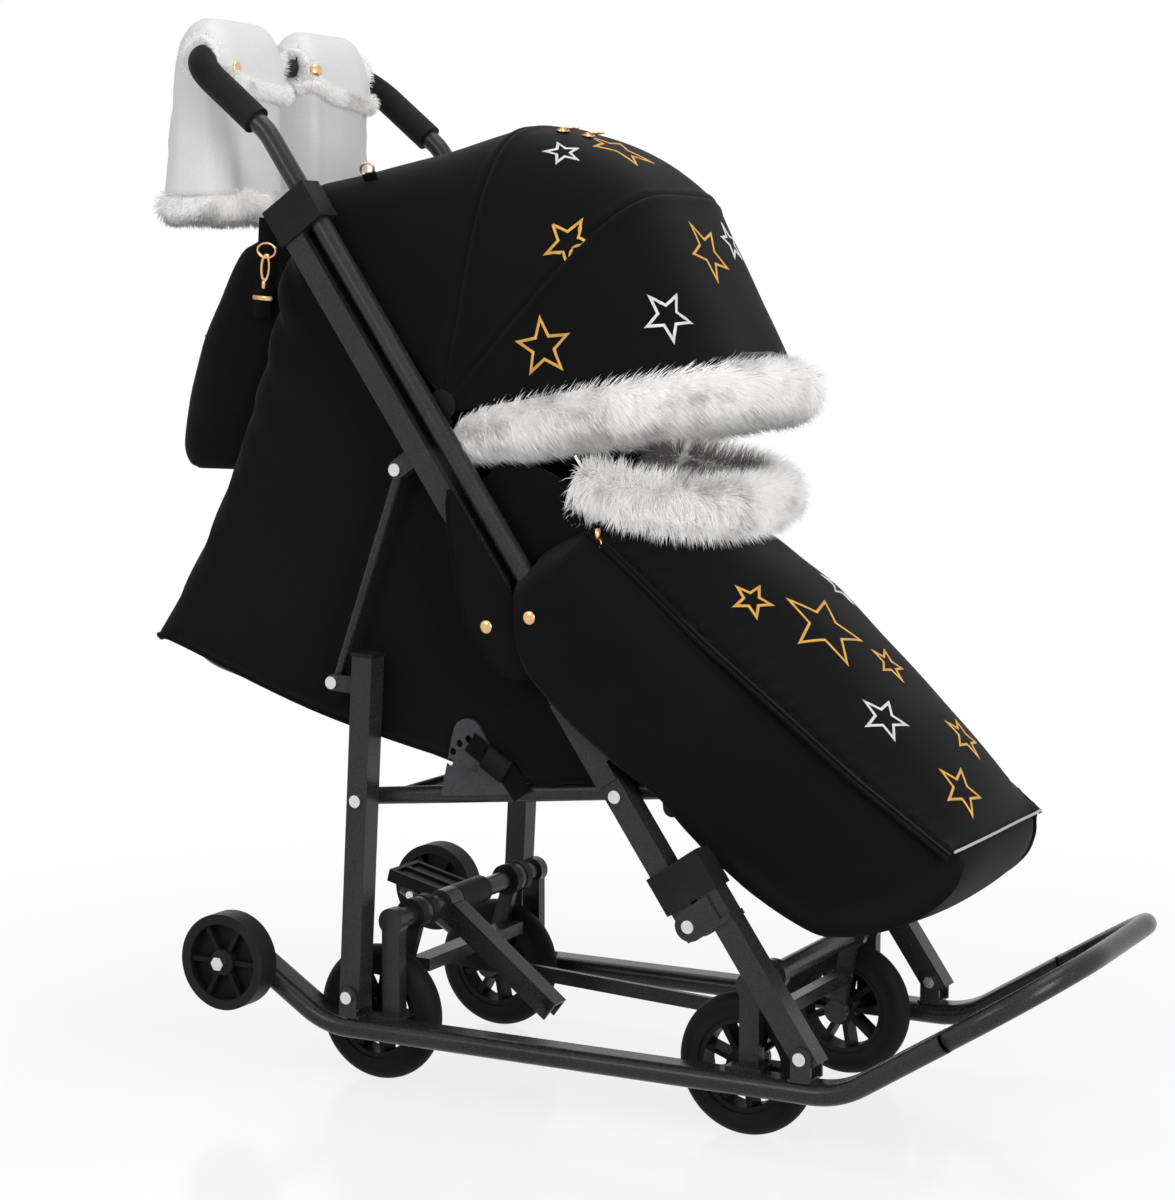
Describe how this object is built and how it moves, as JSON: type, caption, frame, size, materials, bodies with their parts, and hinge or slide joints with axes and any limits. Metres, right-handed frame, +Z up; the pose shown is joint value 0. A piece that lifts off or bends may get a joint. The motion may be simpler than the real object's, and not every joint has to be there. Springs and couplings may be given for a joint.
{
  "type": "sled stroller",
  "caption": "Folding sled stroller on flat-oval runners with retractable road wheels, reversible handle, hood, seat and padded footmuff.",
  "frame": {"origin": "centre of the bounding box at floor level, under the wheels", "axes": "+X forward towards the front hoop, +Y to the left, +Z up"},
  "size_m": [1.0978, 0.488, 1.1572],
  "materials": {
    "coat": "speckled antique silver on black powder coat",
    "plastic": "moulded, satin",
    "chrome": "bright plated",
    "tyre": "smooth rubber",
    "grip": "matt",
    "zinc": "pressed, plated",
    "softshell": "matt woven softshell",
    "lining": "woven lining",
    "board": "plain board",
    "white_leather": "smooth white artificial leather",
    "fur": "pale fur pile"
  },
  "bodies": {
    "chassis": {"runner_right": "coat", "runner_left": "coat", "front_hoop": "coat", "wheel_uprights": "coat", "frame_feet": "coat", "chassis_bolts": "chrome", "transport_axles": "chrome"},
    "rear_wheel_right": {"rear_rim_right": "plastic", "rear_tyre_right": "tyre"},
    "rear_wheel_left": {"rear_rim_left": "plastic", "rear_tyre_left": "tyre"},
    "front_wheel_right": {"front_rim_right": "plastic", "front_tyre_right": "tyre"},
    "front_wheel_left": {"front_rim_left": "plastic", "front_tyre_left": "tyre"},
    "transport_right": {"transport_wheel_right": "plastic"},
    "transport_left": {"transport_wheel_left": "plastic"},
    "rear_swing": {"rear_shaft": "coat", "rear_arms": "coat", "shaft_collars": "plastic", "pedal": "plastic", "lever": "coat"},
    "front_swing": {"front_shaft": "coat", "front_arms": "coat"},
    "link": {"link_rod": "coat"},
    "posts": {"rear_posts": "coat", "post_caps": "plastic", "post_bolts": "chrome"},
    "legs": {"front_legs": "coat", "knee_bolts": "chrome"},
    "upper_frame": {"upper_tubes": "coat", "cross_bar": "coat", "upper_bolts": "chrome", "hood_hinges": "plastic", "rear_bow": "zinc", "hood_rear": "softshell", "rear_tent": "softshell", "side_flaps": "softshell", "bag": "softshell"},
    "strut_pair": {"struts": "coat"},
    "knee_locks": {"lock_sleeves": "plastic"},
    "handle": {"handle_tube": "coat", "grips": "grip"},
    "handle_locks": {"handle_sleeves": "plastic"},
    "muffs": {"hand_muffs": "white_leather", "muff_cuffs": "fur"},
    "seat": {"seat_frame": "coat", "quadrants": "zinc", "seat_board": "board", "seat_pad": "lining", "footmuff": "softshell", "footmuff_collar": "fur"},
    "backrest": {"backrest_frame": "coat", "backrest_pad": "lining"},
    "foot_plate": {"footrest": "coat"},
    "hood_mid": {"middle_bow": "zinc", "hood_middle": "softshell"},
    "hood_edge": {"front_bow": "zinc", "hood_front": "softshell", "hood_fur": "fur"}
  },
  "joints": [
    {"name": "rear_wheel_right_spin", "type": "hinge", "parent": "rear_swing", "child": "rear_wheel_right", "pos_m": [-0.25591, -0.13, 0.075], "axis": [0, 1, 0], "continuous": true},
    {"name": "rear_wheel_left_spin", "type": "hinge", "parent": "rear_swing", "child": "rear_wheel_left", "pos_m": [-0.25591, 0.13, 0.075], "axis": [0, 1, 0], "continuous": true},
    {"name": "front_wheel_right_spin", "type": "hinge", "parent": "front_swing", "child": "front_wheel_right", "pos_m": [0.18709, -0.13, 0.075], "axis": [0, 1, 0], "continuous": true},
    {"name": "front_wheel_left_spin", "type": "hinge", "parent": "front_swing", "child": "front_wheel_left", "pos_m": [0.18709, 0.13, 0.075], "axis": [0, 1, 0], "continuous": true},
    {"name": "transport_right_spin", "type": "hinge", "parent": "chassis", "child": "transport_right", "pos_m": [-0.39547, -0.221, 0.13566], "axis": [0, 1, 0], "continuous": true},
    {"name": "transport_left_spin", "type": "hinge", "parent": "chassis", "child": "transport_left", "pos_m": [-0.39547, 0.221, 0.13566], "axis": [0, 1, 0], "continuous": true},
    {"name": "wheel_lift", "type": "hinge", "parent": "chassis", "child": "rear_swing", "pos_m": [-0.22391, 0, 0.184], "axis": [0, 1, 0], "range_deg": [-85, 0]},
    {"name": "front_lift", "type": "hinge", "parent": "chassis", "child": "front_swing", "pos_m": [0.20309, 0, 0.163], "axis": [0, 1, 0], "range_deg": [-85, 0]},
    {"name": "link_turn", "type": "hinge", "parent": "rear_swing", "child": "link", "pos_m": [-0.26791, 0, 0.10779], "axis": [0, 1, 0], "range_deg": [0, 85]},
    {"name": "fold", "type": "hinge", "parent": "chassis", "child": "legs", "pos_m": [0.27311, 0, 0.10524], "axis": [0, 1, 0], "range_deg": [0, 89.9], "deforming": ["rear_tent", "footmuff", "footmuff_collar", "bag"]},
    {"name": "knee_turn", "type": "hinge", "parent": "legs", "child": "upper_frame", "pos_m": [0.14989, 0, 0.2258], "axis": [0, 1, 0], "range_deg": [-132.78, 0]},
    {"name": "post_turn", "type": "hinge", "parent": "chassis", "child": "posts", "pos_m": [-0.26011, 0, 0.1035], "axis": [0, 1, 0], "range_deg": [0, 72.02]},
    {"name": "seat_turn", "type": "hinge", "parent": "upper_frame", "child": "seat", "pos_m": [0.06491, 0, 0.35061], "axis": [0, 1, 0], "range_deg": [0, 29.48]},
    {"name": "strut_turn", "type": "hinge", "parent": "upper_frame", "child": "strut_pair", "pos_m": [-0.1983, 0, 0.67588], "axis": [0, 1, 0], "range_deg": [-44.3, 0]},
    {"name": "knee_lock_slide", "type": "slide", "parent": "upper_frame", "child": "knee_locks", "axis": [-0.5628, 0, 0.8266], "range_m": [0, 0.0701]},
    {"name": "handle_flip", "type": "hinge", "parent": "upper_frame", "child": "handle", "pos_m": [0.06295, 0, 0.40856], "axis": [0, -1, 0], "range_deg": [-68, 0], "deforming": ["hood_fur"]},
    {"name": "handle_lock_slide", "type": "slide", "parent": "handle", "child": "handle_locks", "axis": [-0.5628, 0, 0.8266], "range_m": [0, 0.0621]},
    {"name": "muff_swing", "type": "hinge", "parent": "handle", "child": "muffs", "pos_m": [-0.4646, 0, 1.11722], "axis": [0, 1, 0], "range_deg": [-68, 0]},
    {"name": "recline", "type": "hinge", "parent": "seat", "child": "backrest", "pos_m": [-0.11606, 0, 0.36111], "axis": [0, -1, 0], "range_deg": [-50, 0], "deforming": ["rear_tent"]},
    {"name": "footrest_lift", "type": "hinge", "parent": "seat", "child": "foot_plate", "pos_m": [0.11048, 0, 0.33709], "axis": [0, 1, 0], "range_deg": [-35, 0], "deforming": ["footmuff"]},
    {"name": "hood_edge_turn", "type": "hinge", "parent": "hood_mid", "child": "hood_edge", "pos_m": [-0.15473, 0, 0.74426], "axis": [0, 1, 0], "range_deg": [-22, 0], "deforming": ["hood_front"]},
    {"name": "hood_middle_turn", "type": "hinge", "parent": "upper_frame", "child": "hood_mid", "pos_m": [-0.15473, 0, 0.74426], "axis": [0, 1, 0], "range_deg": [-24, 0], "deforming": ["hood_middle"]}
  ],
  "couplings": [
    {"joint": "front_lift", "follows": "wheel_lift", "ratio": 1},
    {"joint": "link_turn", "follows": "wheel_lift", "ratio": -1},
    {"joint": "knee_turn", "follows": "fold", "ratio": -1.4769},
    {"joint": "post_turn", "follows": "fold", "ratio": 0.80097},
    {"joint": "seat_turn", "follows": "fold", "ratio": 0.32782},
    {"joint": "strut_turn", "follows": "fold", "ratio": -0.49269},
    {"joint": "knee_lock_slide", "follows": "fold", "m_per_rad": 0.044617},
    {"joint": "handle_lock_slide", "follows": "handle_flip", "m_per_rad": -0.05224},
    {"joint": "muff_swing", "follows": "handle_flip", "ratio": 1},
    {"joint": "hood_middle_turn", "follows": "hood_edge_turn", "ratio": 1.0909}
  ]
}
